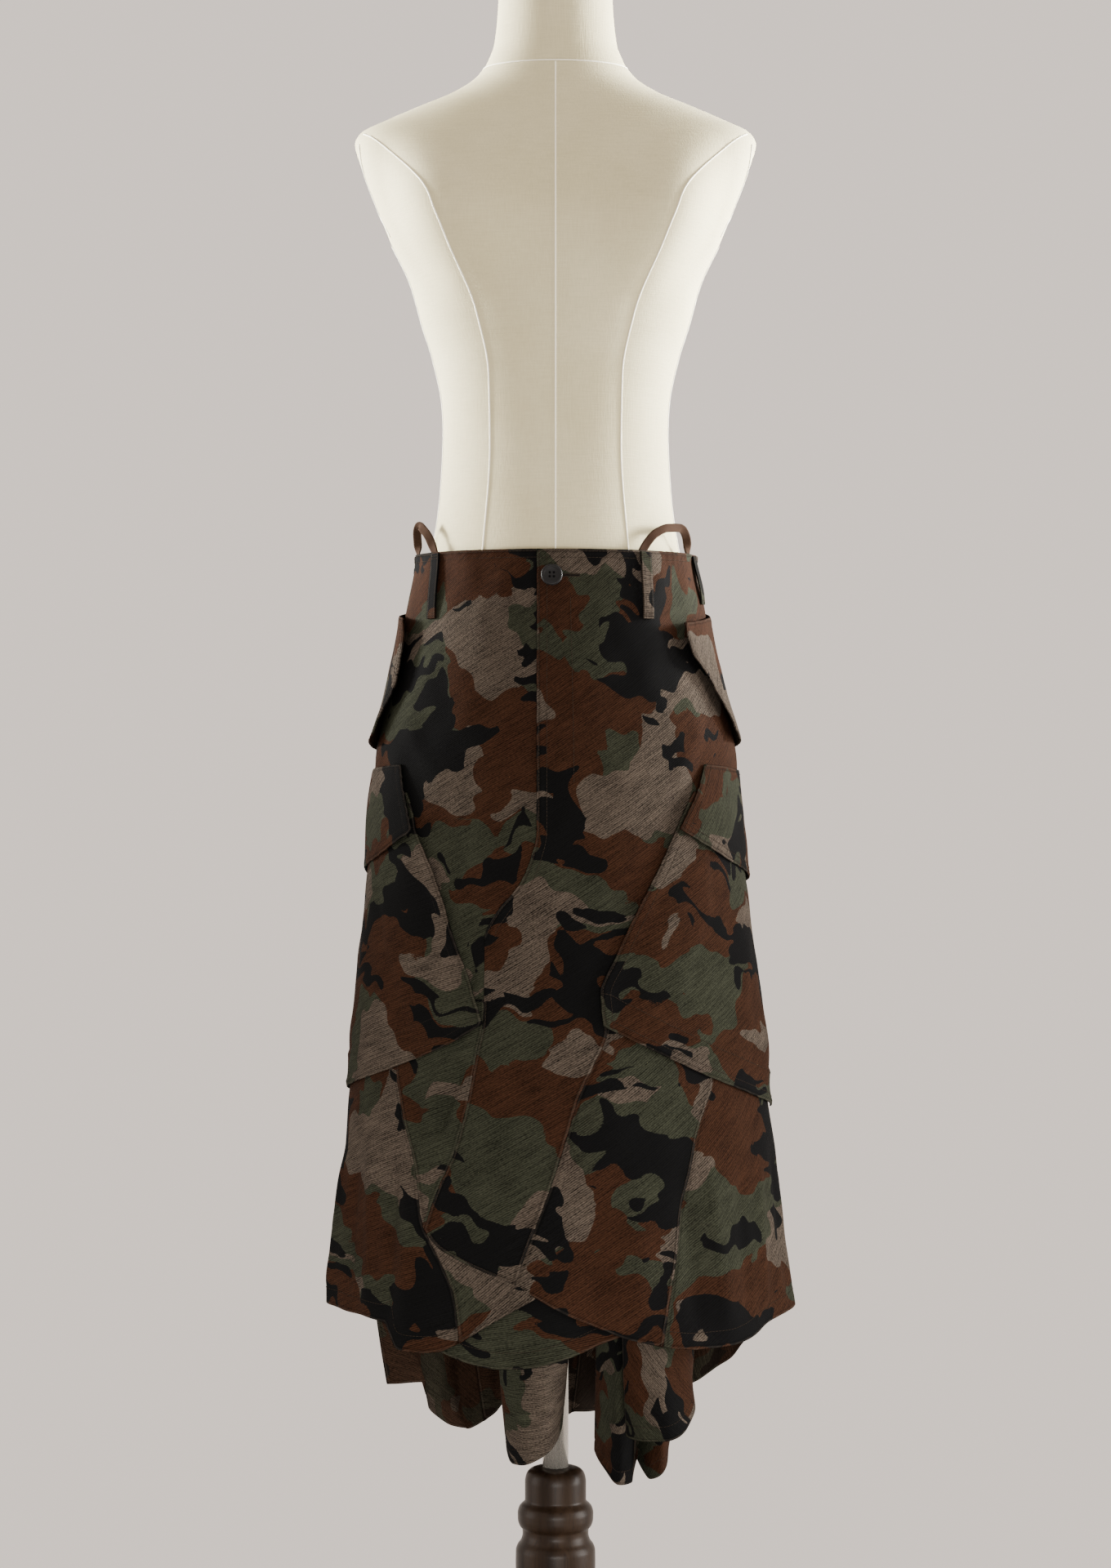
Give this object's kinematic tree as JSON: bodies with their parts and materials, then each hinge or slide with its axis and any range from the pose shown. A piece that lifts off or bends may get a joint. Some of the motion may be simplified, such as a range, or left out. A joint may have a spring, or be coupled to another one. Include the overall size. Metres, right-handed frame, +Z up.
{
  "type": "cargo skirt on a dress form",
  "caption": "Camouflage cargo skirt with pieced panels, side pockets and a fluted back tier, on a limbless dress form with a turned stand.",
  "frame": {"origin": "middle of the stand base's underside, on the pole's axis", "axes": "+Z up along the pole, -Y to the front of the skirt, +X to the viewer's right"},
  "size_m": [0.4493, 0.4037, 1.686],
  "materials": {
    "camo_twill": "matte",
    "linen": "matte",
    "turned_wood": "satin",
    "pole_metal": "polished",
    "hanger_tape": "matte",
    "button_plastic": "satin"
  },
  "bodies": {
    "root": {"form_torso": "linen", "form_neck": "linen", "stand_pole": "pole_metal", "stand_column": "turned_wood", "stand_base": "turned_wood", "button": "button_plastic", "hanger_left": "hanger_tape", "hanger_right": "hanger_tape", "front_left": "camo_twill", "front_right": "camo_twill", "left_gore": "camo_twill", "left_side": "camo_twill", "hem_insert": "camo_twill", "right_gore": "camo_twill", "right_side": "camo_twill", "front_underlayer": "camo_twill", "back_left": "camo_twill", "back_right": "camo_twill", "flounce_left": "camo_twill", "flounce_back_left": "camo_twill", "flounce_back_right": "camo_twill", "flounce_right": "camo_twill", "tail_centre": "camo_twill", "tail_right": "camo_twill", "tail_right_behind": "camo_twill", "hip_flap_left": "camo_twill", "hip_flap_right": "camo_twill", "cargo_pocket_left": "camo_twill", "cargo_pocket_right": "camo_twill", "cargo_flap_left": "camo_twill", "cargo_flap_right": "camo_twill", "belt_loop_front_left": "camo_twill", "belt_loop_front_right": "camo_twill", "belt_loop_side_left": "camo_twill", "belt_loop_side_right": "camo_twill", "belt_loop_back": "camo_twill"}
  },
  "joints": []
}
